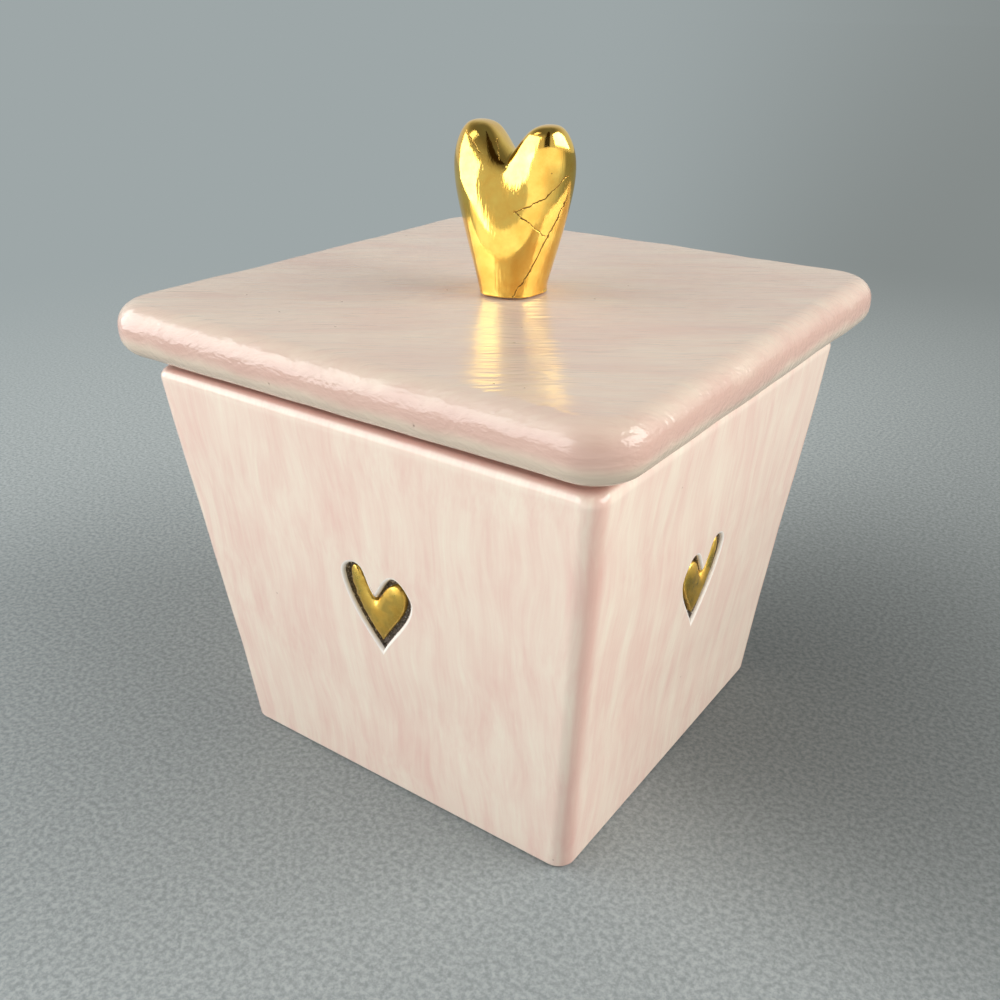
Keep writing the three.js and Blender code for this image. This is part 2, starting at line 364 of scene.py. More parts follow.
class Bench:
    """Adds nodes to one node tree and joins them."""

    def __init__(self, tree: Tree) -> None:
        """Takes the tree to work on."""
        self.tree = tree

    def add(self, kind: str, values: dict | None = None, **settings: object) -> Node:
        """Adds a node.

        Args:
            kind: The node's type, without the word ShaderNode.
            values: What goes into its inputs.
            settings: The node's own settings.

        Returns:
            The node.
        """
        prefix = "" if kind.startswith("NodeGroup") else "ShaderNode"
        node = self.tree.nodes.new(prefix + kind)
        for name, setting in settings.items():
            setattr(node, name, setting)
        self.feed(node, values or {})
        return node

    def feed(self, node: Node, values: dict) -> None:
        """Fills a node's inputs.

        Args:
            node: The node.
            values: Sockets, which are joined to its inputs, and values, which are set on them.
        """
        for key, value in values.items():
            if isinstance(value, Socket):
                self.tree.links.new(value, node.inputs[key])
            else:
                node.inputs[key].default_value = value

    def math(self, operation: str, *values: object, clamp: bool = False) -> Socket:
        """Works out a number from others."""
        return self.add("Math", dict(enumerate(values)), operation=operation, use_clamp=clamp).outputs[0]

    def times(self, first: object, second: object) -> Socket:
        """Multiplies two numbers."""
        return self.math("MULTIPLY", first, second)

    def vector(self, operation: str, *values: object) -> Socket:
        """Works out a vector from others."""
        return self.add("VectorMath", dict(enumerate(values)), operation=operation).outputs[0]

    def measure(self, operation: str, *values: object) -> Socket:
        """Works out a number from vectors."""
        return self.add("VectorMath", dict(enumerate(values)), operation=operation).outputs["Value"]

    def scaled(self, vector: Socket, factor: object) -> Socket:
        """Scales a vector."""
        return self.add("VectorMath", {0: vector, "Scale": factor}, operation="SCALE").outputs[0]

    def axis(self, name: str, vector: Socket) -> Socket:
        """Gives the X, Y or Z of a vector."""
        return self.add("SeparateXYZ", {0: vector}).outputs[name]

    def mix(self, share: object, first: object, second: object) -> Socket:
        """Mixes two colours, with a share of 0 to 1 of the second."""
        colour_a, colour_b, mixed = 6, 7, 2
        return self.add("Mix", {0: share, colour_a: first, colour_b: second}, data_type="RGBA").outputs[mixed]

    def fade(self, value: object, start: float, end: float, low: float = 0.0, high: float = 1.0) -> Socket:
        """Goes smoothly from low, where the value is at start, to high, where it is at end."""
        values = {"Value": value, "From Min": start, "From Max": end, "To Min": low, "To Max": high}
        return self.add("MapRange", values, interpolation_type="SMOOTHSTEP").outputs[0]

    def band(self, value: object, start: float, full: float, ebb: float, end: float) -> Socket:
        """Rises from 0 at start to 1 at full, and falls from 1 at ebb to 0 at end."""
        return self.times(self.fade(value, start, full), self.fade(value, ebb, end, 1.0, 0.0))

    def noise(self, place: Socket, scale: object, detail: float = 2.0, rough: float = 0.5) -> Socket:
        """Gives smooth noise of about 0 to 1 at a place."""
        values = {"Vector": place, "Scale": scale, "Detail": detail, "Roughness": rough}
        return self.add("TexNoise", values).outputs[0]

    def strayed(self, place: Socket, scale: float, detail: float, reach: float) -> Socket:
        """Moves a place unevenly, so that what is drawn there wanders.

        Args:
            place: The place.
            scale: Scale of the noise that moves it.
            detail: Detail of that noise.
            reach: Twice the greatest move along an axis.

        Returns:
            The moved place.
        """
        cloud = self.add("TexNoise", {"Vector": place, "Scale": scale, "Detail": detail}).outputs["Color"]
        shift = self.vector("SUBTRACT", cloud, (0.5, 0.5, 0.5))
        return self.vector("ADD", place, self.scaled(shift, reach))

    def group(self, tree: Tree, **values: object) -> bpy.types.NodeOutputs:
        """Places a node group, with values for its named inputs, and gives its outputs."""
        return self.add("Group", values, node_tree=tree).outputs


class EffectBench(Bench):
    """A bench on a new shader node group, which puts out numbers."""

    def __init__(self, name: str, *outputs: str, **inputs: object) -> None:
        """Starts the group.

        Args:
            name: The group's name.
            outputs: The names of its outputs.
            inputs: Its named inputs and their starting values.
        """
        super().__init__(bpy.data.node_groups.new(name, "ShaderNodeTree"))
        for label, value in inputs.items():
            kind = "NodeSocketVector" if isinstance(value, tuple) else "NodeSocketFloat"
            self.tree.interface.new_socket(label, in_out="INPUT", socket_type=kind).default_value = value
        for label in outputs:
            self.tree.interface.new_socket(label, in_out="OUTPUT", socket_type="NodeSocketFloat")
        self.given = self.add("NodeGroupInput").outputs
        self.out = self.add("NodeGroupOutput")


def brush_strokes() -> Tree:
    """Builds the strokes that a loaded brush leaves, running along Z.

    Returns:
        The group. Streaks and Patches tell thick glaze from thin, and Ridges is their height.
    """
    bench = EffectBench("brush_strokes", "Streaks", "Patches", "Ridges",
                        Place=ORIGIN, Width=1.5, Patch=9.0, Length=30.0)
    width, length = bench.given["Width"], bench.given["Length"]
    place = bench.strayed(bench.given["Place"], 0.05, 1.0, 5.0)

    def strokes(across: Socket, along: Socket) -> Socket:
        """Gives noise drawn out along the stroke."""
        cell = bench.add("CombineXYZ", {"X": across, "Y": across, "Z": along}).outputs[0]
        return bench.noise(bench.vector("DIVIDE", place, cell), 1.0, 2.0, 0.55)

    bench.feed(bench.out, {
        "Streaks": strokes(width, length),
        "Patches": strokes(bench.given["Patch"], length),
        "Ridges": strokes(bench.times(width, 0.45), bench.times(length, 0.4)),
    })
    return bench.tree


def pinholes() -> Tree:
    """Builds sparse round specks.

    Returns:
        The group. Specks is 1 in a speck and 0 elsewhere.
    """
    bench = EffectBench("pinholes", "Specks", Place=ORIGIN, Spacing=6.0, Radius=0.3)
    spacing = bench.given["Spacing"]
    scale = bench.math("DIVIDE", 1.0, spacing)
    cells = bench.add("TexVoronoi", {"Vector": bench.given["Place"], "Scale": scale})
    distance = bench.times(cells.outputs["Distance"], spacing)
    edge = bench.math("DIVIDE", distance, bench.given["Radius"])
    bench.feed(bench.out, {"Specks": bench.fade(edge, 0.6, 1.1, 1.0, 0.0)})
    return bench.tree


def mottling() -> Tree:
    """Builds cloudy mottling.

    Returns:
        The group. Mottling goes from 0 to 1.
    """
    bench = EffectBench("mottling", "Mottling", Place=ORIGIN, Size=1.0, Contrast=0.2)
    cloud = bench.noise(bench.given["Place"], bench.math("DIVIDE", 1.0, bench.given["Size"]), 4.0, 0.6)
    shifted = bench.math("DIVIDE", bench.math("SUBTRACT", cloud, 0.5), bench.given["Contrast"])
    bench.feed(bench.out, {"Mottling": bench.math("ADD", shifted, 0.5, clamp=True)})
    return bench.tree


def hairline() -> Tree:
    """Builds one straight stretch of a fine crack.

    Returns:
        The group. Crack is 1 on the line from From to To and 0 beyond its width.
    """
    bench = EffectBench("hairline", "Crack", Place=ORIGIN, From=ORIGIN, To=ORIGIN, Width=0.2)
    start = bench.given["From"]
    along, offset = (bench.vector("SUBTRACT", bench.given[name], start) for name in ("To", "Place"))
    whole = bench.measure("DOT_PRODUCT", along, along)
    share = bench.math("DIVIDE", bench.measure("DOT_PRODUCT", offset, along), whole, clamp=True)
    gap = bench.measure("DISTANCE", offset, bench.scaled(along, share))
    reach = bench.math("DIVIDE", gap, bench.given["Width"])
    bench.feed(bench.out, {"Crack": bench.fade(reach, 0.3, 1.0, 1.0, 0.0)})
    return bench.tree


@dataclass
class Effects:
    """The shared shader node groups, each built once."""

    strokes: Tree = field(default_factory=brush_strokes)
    pinholes: Tree = field(default_factory=pinholes)
    mottling: Tree = field(default_factory=mottling)
    hairline: Tree = field(default_factory=hairline)


class Coat(Bench):
    """A bench on the nodes of a new material, with the shared effects at hand."""

    def __init__(self, name: str, effects: Effects | None = None) -> None:
        """Starts the material, and finds the place on the object in millimetres.

        Args:
            name: The material's name.
            effects: The shared node groups, where it uses them.
        """
        self.material = bpy.data.materials.new(name)
        self.material.use_nodes = True
        super().__init__(self.material.node_tree)
        self.effects = effects
        self.shader = self.tree.nodes["Principled BSDF"]
        self.place = self.scaled(self.add("TexCoord").outputs["Object"], 1 / MM)

    def mottled(self, size: float, contrast: float) -> Socket:
        """Gives mottling with clouds of a size."""
        return self.group(self.effects.mottling, Place=self.place, Size=size, Contrast=contrast)["Mottling"]

    def specked(self, spacing: float, radius: float) -> Socket:
        """Gives specks of a radius."""
        return self.group(self.effects.pinholes, Place=self.place, Spacing=spacing, Radius=radius)["Specks"]

    def finish(self, colour: Socket, rough: object, height: Socket, depth: float, **numbers: float) -> None:
        """Joins what was worked out to the shader.

        Args:
            colour: Base colour.
            rough: Roughness.
            height: Height of the relief, about 0 to 1.
            depth: Depth of the relief in millimetres.
            numbers: Numbers that are the same all over, by the shader's own names.
        """
        bump = self.add("Bump", {"Height": height, "Distance": depth * MM, "Strength": 1.0})
        surface = {"Base Color": colour, "Roughness": rough, "Normal": bump.outputs[0]}
        self.feed(self.shader, surface | numbers)


# ---- finishes


@dataclass(frozen=True)
class Finish:
    """What a piece is coated with."""

    name: str

    def paint(self, coat: Coat) -> None:
        """Lays the finish on. Each finish says how."""
        raise NotImplementedError

    def material(self, effects: Effects) -> Material:
        """Builds the material.

        Args:
            effects: The shared node groups.

        Returns:
            The material.
        """
        coat = Coat(self.name, effects)
        self.paint(coat)
        return coat.material


@dataclass(frozen=True)
class BrushedGlaze(Finish):
    """A clear pink glaze brushed over cream, thin on the edges, where the darker pink shows, with painted
    shade and painted highlights laid on where its subclasses' masks say.
    """

    cream: Colour
    pink: Colour
    # the darker pink of thin glaze, which also serves as painted shade
    blush_and_shade: Colour
    stroke_width: float
    patch_width: float
    length: float
    ridge_height: float
    roughness: float
    stroke_turn: tuple[float, float, float] = ORIGIN
    # how strongly the darker pink is laid on, for thin glaze and painted shade
    edge_blush: float = 1.0
    # painted light: on the wall rim a painted highlight, and on the lid the cream glaze gathered under the
    # edge, painted darker as shade
    pooled_and_painted_light: Colour = srgb(246, 240, 226)
    pinhole: Colour = srgb(140, 108, 92)
    patch_share: float = 0.45
    streak_share: float = 0.2
    wash_share: float = 0.35
    wash_size: float = 13.0
    wear_size: float = 6.0

    def masks(self, coat: Coat) -> tuple[object, object]:
        """Says where thin glaze and painted shade go, and where gathered glaze and painted light go: nowhere,
        on a plain glaze.
        """
        return 0.0, 0.0

    def paint(self, coat: Coat) -> None:
        """Brushes the glaze on.

        Args:
            coat: The material's bench.
        """
        turned = coat.add("Mapping", {"Vector": coat.place, "Rotation": self.stroke_turn}).outputs[0]
        strokes = coat.group(coat.effects.strokes, Place=turned, Width=self.stroke_width,
                             Patch=self.patch_width, Length=self.length)
        share = coat.times(coat.math("SUBTRACT", strokes["Ridges"], 0.5), 0.5)
        for part, weight in (
            (coat.fade(strokes["Patches"], 0.28, 0.74), self.patch_share),
            (coat.fade(strokes["Streaks"], 0.26, 0.76), self.streak_share),
            (coat.mottled(self.wash_size, 0.5), self.wash_share),
        ):
            share = coat.math("ADD", share, coat.times(part, weight))
        # the first mask lays on the darker pink, for thin glaze and painted shade; the second lays on its own
        # colour, for painted light
        thin, pooled_and_painted_light = self.masks(coat)
        colour = coat.mix(pooled_and_painted_light, coat.mix(share, self.cream, self.pink), self.pooled_and_painted_light)
        colour = coat.mix(coat.times(thin, self.edge_blush), colour, self.blush_and_shade)
        specks = coat.specked(6.5, 0.2)
        colour = coat.mix(coat.times(specks, 0.35), colour, self.pinhole)
        wear = coat.mottled(self.wear_size, 0.4)
        rough = coat.fade(wear, 0.0, 1.0, self.roughness * 0.75, self.roughness * 1.35)
        height = coat.math("ADD", strokes["Ridges"], coat.times(specks, -0.8))
        coat.finish(colour, rough, height, self.ridge_height, IOR=1.55)


@dataclass(frozen=True)
class WallGlaze(BrushedGlaze):
    """The glaze of the leaning walls, whose foot half-width and rim height are in millimetres."""

    foot_half: float = 0.0
    lean: float = 0.0
    rim: float = 0.0

    def masks(self, coat: Coat) -> tuple[Socket, Socket]:
        """Finds the thin glaze on the arrises, with painted shade there, the painted shade on the rim under
        the lid, and a painted highlight on the rim's shoulder.

        Args:
            coat: The material's bench.

        Returns:
            The masks of thin glaze with painted shade, and of the painted highlight.
        """
        across, along = (coat.math("ABSOLUTE", coat.axis(name, coat.place)) for name in "XY")
        up = coat.axis("Z", coat.place)
        half = coat.math("ADD", coat.times(up, self.lean), self.foot_half)
        inset = coat.math("SUBTRACT", half, coat.math("MINIMUM", across, along))
        # thin glaze on the arrises, with painted shade: the band reaches further onto the walls facing ±X
        # than onto the front and back
        side = coat.fade(coat.math("SUBTRACT", across, along), -2.0, 2.0, 1.3, -1.3)
        arris = coat.fade(coat.math("ADD", inset, side), 0.6, 2.8, 1.0, 0.0)
        # painted shade: the rim's top under the lid is painted darker pink, for the lid's shadow and the pink
        # light bounced from it
        rim = coat.fade(up, self.rim - 1.0, self.rim - 0.1)
        # painted highlight: a paler line round the rim's outer shoulder
        shoulder = coat.band(up, self.rim - 2.6, self.rim - 1.9, self.rim - 1.4, self.rim - 0.9)
        thin = coat.math("MAXIMUM", coat.times(arris, 0.42), coat.times(rim, 0.75))
        return thin, coat.times(shoulder, 0.15)


@dataclass(frozen=True)
class LidGlaze(BrushedGlaze):
    """The glaze of the lid, whose underside and top are at low and high, in millimetres."""

    low: float = 0.0
    high: float = 0.0

    def masks(self, coat: Coat) -> tuple[Socket, Socket]:
        """Finds the thin glaze in a band round the edge, darkened further as painted shade, and the cream
        glaze gathered below the band, painted darker as shade.

        Args:
            coat: The material's bench.

        Returns:
            The masks of thin glaze with painted shade, and of gathered glaze with painted shade.
        """
        up = coat.axis("Z", coat.place)
        wobble = coat.math("SUBTRACT", coat.noise(coat.place, 0.12, 2.0), 0.5)
        rise = coat.math("ADD", up, coat.times(wobble, 3.0))
        start, full, ebb, end, pool = (
            self.low + share * (self.high - self.low) for share in (0.28, 0.50, 0.60, 0.90, 0.30))
        # both masks paint shade on the lid's edge as well as marking its glaze
        return coat.band(rise, start, full, ebb, end), coat.fade(up, pool, full, 1.0, 0.0)


@dataclass(frozen=True)
class Crack:
    """A hairline crack from bend to bend, in millimetres across and up the knob's front."""

    width: float
    bends: tuple[Pair, ...]


KNOB_CRACKS = (
    Crack(0.11, ((8.0, 98.2), (4.8, 95.1), (1.6, 93.5), (-0.1, 92.9))),
    Crack(0.11, ((-0.1, 93.1), (4.8, 89.3))),
    Crack(0.14, ((8.2, 95.2), (6.6, 91.7), (5.0, 88.8), (2.3, 83.4), (0.9, 81.6), (-0.1, 79.9))),
    Crack(0.08, ((-7.8, 104.1), (-5.1, 100.9))),
    Crack(0.08, ((-2.7, 102.7), (-2.3, 100.1))),
)


@dataclass(frozen=True)
class GoldLustre(Finish):
    """Fired gold over glaze, drawn out in fine upright ripples."""

    gold: Colour
    shade: Colour
    roughness: float
    mottle_size: float
    ripple: float
    cracks: tuple[Crack, ...] = ()
    facing: float = 0.0
    wrinkled_below: float = 0.0
    crack_brown: Colour = srgb(92, 52, 20)
    speck_brown: Colour = srgb(110, 66, 24)

    def crack_mask(self, coat: Coat) -> Socket:
        """Finds the cracks, which are on the front only.

        Args:
            coat: The material's bench.

        Returns:
            The mask: 1 in a crack.
        """
        values = {"Vector": coat.place, "Axis": (0, 0, 1), "Angle": -self.facing}
        turned = coat.add("VectorRotate", values).outputs[0]
        flat = coat.vector("MULTIPLY", coat.strayed(turned, 0.8, 3.0, 0.9), (1.0, 0.0, 1.0))
        mask: object = 0.0
        for crack in self.cracks:
            points = [(across, 0.0, up) for across, up in crack.bends]
            for start, end in zip(points, points[1:]):
                stretch = coat.group(coat.effects.hairline, Place=flat, From=start, To=end, Width=crack.width)
                mask = coat.math("MAXIMUM", mask, stretch["Crack"])
        return coat.times(mask, coat.fade(coat.axis("Y", turned), 0.0, 1.5, 1.0, 0.0))

    def paint(self, coat: Coat) -> None:
        """Lays the gold on.

        Args:
            coat: The material's bench.
        """
        mottled, crack = coat.mottled(self.mottle_size, 0.3), self.crack_mask(coat)
        colour = coat.mix(coat.times(mottled, 0.55), self.gold, self.shade)
        colour = coat.mix(coat.times(crack, 0.85), colour, self.crack_brown)
        colour = coat.mix(coat.times(coat.specked(3.2, 0.14), 0.6), colour, self.speck_brown)
        drawn = coat.vector("MULTIPLY", coat.place, (1.6, 1.6, 0.12))
        start, end = self.wrinkled_below - 3.0, self.wrinkled_below + 3.0
        wrinkles = coat.fade(coat.axis("Z", coat.place), start, end, 5.0, 1.0)
        height = coat.times(coat.noise(drawn, 1.0, 3.0, 0.6), wrinkles)
        height = coat.math("SUBTRACT", height, coat.times(crack, 2.0))
        rough = coat.fade(mottled, 0.0, 1.0, self.roughness * 0.7, self.roughness * 1.5)
        rough = coat.math("ADD", rough, coat.times(crack, 0.4), clamp=True)
        coat.finish(colour, rough, height, self.ripple, Metallic=1.0)


@dataclass(frozen=True)
class GrooveStain(Finish):
    """Dark oxide rubbed into a groove, with glaze beaded over it in places, painted pale in part as glints.
    """

    stain: Colour = srgb(66, 58, 52)
    worn: Colour = srgb(142, 130, 120)
    glaze: Colour = srgb(226, 220, 208)

    def paint(self, coat: Coat) -> None:
        """Rubs the stain in.

        Args:
            coat: The material's bench.
        """
        mottled = coat.mottled(0.32, 0.24)
        # pale specks: beaded glaze, painted pale in part as glints
        glaze_beads_and_glints = coat.times(coat.specked(0.62, 0.2), 0.85)
        colour = coat.mix(glaze_beads_and_glints, coat.mix(mottled, self.stain, self.worn), self.glaze)
        coat.finish(colour, 0.3, mottled, 0.08)


@dataclass(frozen=True)
class BareClay(Finish):
    """Fired clay without glaze."""

    clay: Colour = srgb(222, 208, 190)
    dark: Colour = srgb(196, 178, 158)

    def paint(self, coat: Coat) -> None:
        """Leaves the clay bare, with its grit.

        Args:
            coat: The material's bench.
        """
        grit = coat.noise(coat.place, 3.0, 3.0, 0.7)
        colour = coat.mix(coat.mottled(4.0, 0.5), self.clay, self.dark)
        coat.finish(colour, coat.fade(grit, 0.0, 1.0, 0.75, 0.95), grit, 0.12)


# ---- pressed hearts


@dataclass(frozen=True)
class Knot:
    """One point of an outline drawn with curves, in shares of the heart's width and height."""

    at: Pair
    before: Pair
    after: Pair
    outward: Pair
    grow: float = 1.0


@dataclass
class HeartStamp:
    """The outline that is pressed into every wall: a slim upright lobe and a full round one."""

    width: float = 10.5 * MM
    height: float = 12.8 * MM
    aside: float = 2.5 * MM
    up: float = 38.6 * MM
    depth: float = 1.35 * MM
    groove: float = 1.1 * MM
    steps: int = 9
    knots: tuple[Knot, ...] = (
        Knot((-0.05, -0.50), (0.14, -0.24), (-0.22, -0.31), (0.0, -1.0), 1.35),
        Knot((-0.53, 0.36), (-0.50, -0.04), (-0.53, 0.52), (-1.0, 0.12)),
        Knot((-0.31, 0.44), (-0.39, 0.60), (-0.25, 0.30), (0.55, 0.62), 0.85),
        Knot((-0.07, 0.10), (-0.17, 0.15), (0.07, 0.24), (0.05, 1.0), 0.55),
        Knot((0.34, 0.44), (0.18, 0.44), (0.45, 0.44), (0.1, 1.0)),
        Knot((0.50, 0.25), (0.50, 0.35), (0.48, 0.00), (1.0, 0.0)),
    )

    def outline(self, name: str, grow: float) -> Piece:
        """Draws the outline flat, about the heart's own middle, and fills it with one face.

        Args:
            name: The new mesh's name.
            grow: How far outside the heart it runs.

        Returns:
            The face.
        """
        piece = start(name, bpy.ops.curve.primitive_bezier_circle_add, radius=self.width / 2)
        spline = piece.data.splines[0]
        spline.bezier_points.add(len(self.knots) - len(spline.bezier_points))
        for point, knot in zip(spline.bezier_points, self.knots):
            shift = Vector(knot.outward) * knot.grow * grow
            point.handle_left_type = point.handle_right_type = "FREE"
            point.co = self.place(knot.at, shift)
            point.handle_left = self.place(knot.before, shift)
            point.handle_right = self.place(knot.after, shift)
        spline.use_cyclic_u = True
        spline.resolution_u = self.steps
        bpy.ops.object.convert(target="MESH")
        with editing(piece):
            bpy.ops.mesh.remove_doubles(threshold=TOUCH)
            bpy.ops.mesh.edge_face_add()
            bpy.ops.mesh.normals_make_consistent(inside=False)
        return piece

    def place(self, share: Pair, shift: Vector) -> Vector:
        """Gives a point from its share of the width and height, moved by shift."""
        return Vector((share[0] * self.width + shift.x, share[1] * self.height + shift.y, 0.0))

    def onto_wall(self, turn: int, foot_half: float, slope: float) -> Matrix:
        """Gives the place of a heart on a wall.

        Args:
            turn: How many quarter turns the wall is from the front.
            foot_half: From the middle of the box to the foot of the wall.
            slope: How far the wall leans outwards.

        Returns:
            The matrix for a heart drawn flat.
        """
        hand = hand_of(turn).value
        return (
            Matrix.Rotation(turn * QUARTER, 4, "Z")
            @ Matrix.Translation((0.0, -foot_half, 0.0))
            @ Matrix.Rotation(QUARTER + slope, 4, "X")
            @ Matrix.Translation((hand * self.aside, self.up, 0.0))
            @ Matrix.Diagonal((hand, 1.0, 1.0, 1.0))
        )


def hand_of(turn: int) -> Hand:
    """Gives the hand of a wall's heart: neighbouring hearts are mirror images."""
    return Hand.SLIM_LOBE_LEFT if turn % 2 == 0 else Hand.SLIM_LOBE_RIGHT


@dataclass
class PressedHearts:
    """The four gilded hearts, domed like small cushions in their grooves."""

    stamp: HeartStamp
    foot_half: float
    slope: float
    clear: float = 0.05 * MM
    shrink: float = 0.24 * MM
    thickness: float = 0.85 * MM
    crown: float = 0.55 * MM
    grid: float = 0.42 * MM
    smoothing: int = 14

    def model(self) -> Piece:
        """Makes one heart, lying flat with its underside down in the groove.

        Returns:
            The heart.
        """
        piece = self.stamp.outline("heart", -self.shrink)
        reach = Vector((self.stamp.width, self.stamp.height, 0.0))
        with editing(piece):
            slice_up(-reach, reach, self.grid)
            bpy.ops.mesh.select_all(action="SELECT")
            bottom = self.clear - self.stamp.depth
            lift(bottom)
            draw_out((0.0, 0.0, self.thickness))
            is_top = level_at(bottom + self.thickness)
            choose(Kind.CORNER, lambda v: is_top(v) and all(is_top(e.other_vert(v)) for e in v.link_edges))
            lift(self.crown)
            bpy.ops.mesh.vertices_smooth(factor=0.5, repeat=self.smoothing, xaxis=False, yaxis=False)
        turn_normals_out(piece)
        return piece

    def build(self, gold: Material) -> None:
        """Presses a copy of the heart into each wall.

        Args:
            gold: Their finish.
        """
        pattern = self.model()
        for turn, side in enumerate(SIDES):
            piece = copy_of(pattern, f"{side}_gilded_heart")
            stand_at(piece, self.stamp.onto_wall(turn, self.foot_half, self.slope))
            turn_normals_out(piece)
            shade(piece, 70)
            piece.data.materials.append(gold)
            hand_in(piece, "box", "dull_gold", f"{side}_heart_fill")
        bpy.data.objects.remove(pattern)


# ---- box


@dataclass
class GlazedBody:
    """Four leaning walls on a base, joined and smoothed into one vessel, with its bare underside."""

    stamp: HeartStamp = field(default_factory=HeartStamp)
    wall: float = 7.0 * MM
    arris_radius: float = 3.0 * MM
    corner_fillet: float = 5.2 * MM
    floor_fillet: float = 4.4 * MM
    rim_radius: float = 2.2 * MM
    foot_radius: float = 0.6 * MM
    foot_gap: float = 0.12 * MM
    foot_rim: float = 1.4 * MM
    recess: float = 1.6 * MM
    lip_radius: float = 0.55 * MM
    grid: float = 3.0 * MM
    unevenness: float = 0.4 * MM
    hollow_size: float = 22.0 * MM
    clay_lap: float = 0.2 * MM
    clay_corner: float = 2.4 * MM
    clay_edge: float = 0.25 * MM

    def __post_init__(self) -> None:
        """Takes the slope and the heights from the frame."""
        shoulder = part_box("right_wall")[1]
        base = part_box("base_slab")[1]
        self.height = shoulder.z
        self.lean = (shoulder.x - base.x) / (self.height - self.rim_radius - base.z)
        self.foot_half = base.x - self.lean * base.z
        self.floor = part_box("front_floor_coil")[0].z
        self.slope = math.atan(self.lean)

    def half(self, height: float) -> float:
        """Gives half of the outside width at a height."""
        return self.foot_half + self.lean * height

    def open_column(self, name: str, bottom: float, inset: float, corner: float, edge: float) -> Piece:
        """Makes a leaning square column without a top.

        Args:
            name: The piece's name.
            bottom: Height of its bottom.
            inset: How far it stands in from the outside of the box.
            corner: Radius of its upright edges.
            edge: Radius of its bottom edge.

        Returns:
            The column, with its faces looking outwards.
        """
        foot, top = self.half(bottom) - inset, self.half(self.height) - inset
        piece = block(name, Vector((-foot, -foot, bottom)), Vector((foot, foot, self.height)))
        with editing(piece):
            choose(Kind.FACE, faces_up)
            spread(top / foot, top / foot)
            choose(Kind.EDGE, is_upright)
            round_off(corner, 7)
            choose(Kind.EDGE, level_at(bottom))
            round_off(edge, 4)
            choose(Kind.FACE, faces_up)
            bpy.ops.mesh.delete(type="FACE")
        return piece

    def vessel(self) -> Piece:
        """Makes the hollow vessel: an outer and an inner column bridged at the rim.

        Returns:
            The vessel, a closed solid.
        """
        outside = self.open_column("glazed_body", self.foot_gap, 0.0, self.arris_radius, self.foot_radius)
        inside = self.open_column("inside", self.floor, self.wall, self.corner_fillet, self.floor_fillet)
        with editing(inside):
            bpy.ops.mesh.flip_normals()
        pick_only(outside)
        inside.select_set(True)
        bpy.ops.object.join()
        at_rim = level_at(self.height)
        with editing(outside):
            choose(Kind.EDGE, at_rim)
            bpy.ops.mesh.bridge_edge_loops()
            choose(Kind.EDGE, lambda e: at_rim(e) and not all(faces_up(face) for face in e.link_faces))
            round_off(self.rim_radius, 6)
            choose(Kind.FACE, lambda f: faces_down(f) and f.calc_center_median().z < self.foot_radius)
            bpy.ops.mesh.inset(thickness=self.foot_rim)
            lift(self.recess)
        return outside

    def press_hearts(self, vessel: Piece, stain: Material, lip: Material) -> None:
        """Cuts a stained pocket with a soft lip into every wall.

        Args:
            vessel: The vessel.
            stain: Finish of the pockets.
            lip: Finish of their lips: gathered glaze, painted paler as a highlight.
        """
        for turn, side in enumerate(SIDES):
            cutter = self.stamp.outline(f"{side}_stamp", self.stamp.groove)
            with editing(cutter):
                lift(-self.stamp.depth)
                draw_out((0.0, 0.0, 2 * self.stamp.depth))
            cutter.data.materials.append(stain)
            stand_at(cutter, self.stamp.onto_wall(turn, self.foot_half, self.slope))
            turn_normals_out(cutter)
            cut = vessel.modifiers.new("press", "BOOLEAN")
            cut.operation = "DIFFERENCE"
            cut.solver = "EXACT"
            cut.material_mode = "TRANSFER"
            cut.object = cutter
            apply_modifiers(vessel)
            bpy.data.objects.remove(cutter)
        vessel.data.materials.append(lip)
        with editing(vessel):
            choose(Kind.EDGE, lambda e: len({face.material_index for face in e.link_faces}) == 2)
            round_off(self.lip_radius, 3, material=2)

    def soften(self, vessel: Piece) -> None:
        """Gives the vessel its grid and its slight hand-made unevenness.

        Args:
            vessel: The vessel.
        """
        reach = self.half(self.height) - self.wall - self.corner_fillet
        low = Vector((-reach, -reach, self.floor + self.floor_fillet))
        high = Vector((reach, reach, self.height - self.rim_radius))
        with editing(vessel):
            slice_up(low, high, self.grid)
        roughen(vessel, self.hollow_size, self.unevenness, self.freedom)
        shade_flats(vessel)

    def freedom(self, place: Vector) -> float:
        """Says how uneven a place may be: the foot, the floor and the hearts stay as they are.

        Args:
            place: The place.

        Returns:
            From 0 to 1.
        """
        above_foot = ease(place.z, self.recess, 6 * self.recess)
        across = min(abs(place.x), abs(place.y))
        from_heart = Vector((across - self.stamp.aside, place.z - self.stamp.up)).length
        return above_foot * ease(from_heart, 0.77 * self.stamp.height, 1.76 * self.stamp.height)

    def underside(self, clay: Material) -> None:
        """Makes the bare foot that shows under the glazed walls.

        Args:
            clay: Its finish.
        """
        half = self.foot_half - self.foot_rim + self.clay_lap
        low, high = Vector((-half, -half, 0.0)), Vector((half, half, self.recess))
        base = block("clay_foot", low, high)
        with editing(base):
            choose(Kind.EDGE, is_upright)
            round_off(self.clay_corner, 5)
            choose(Kind.EDGE, level_at(0.0))
            round_off(self.clay_edge, 2)
            slice_up(low, high, 2 * self.grid)
        shade_flats(base)
        base.data.materials.append(clay)
        hand_in(base, "box", "bare_clay", "base_slab")

    def build(self, glaze: Material, stain: Material, lip: Material, clay: Material) -> None:
        """Builds the vessel and its foot.

        Args:
            glaze: Finish of the walls.
            stain: Finish of the heart pockets.
            lip: Finish of the pockets' lips.
            clay: Finish of the foot.
        """
        vessel = self.vessel()
        vessel.data.materials.append(glaze)
        self.press_hearts(vessel, stain, lip)
        self.soften(vessel)
        walls = [f"{side}_{part}" for part in ("wall", "floor_coil") for side in SIDES]
        hand_in(vessel, "box", "pink_glaze", *walls, *(f"{corner}_corner_coil" for corner in CORNERS))
        self.underside(clay)


# ---- lid


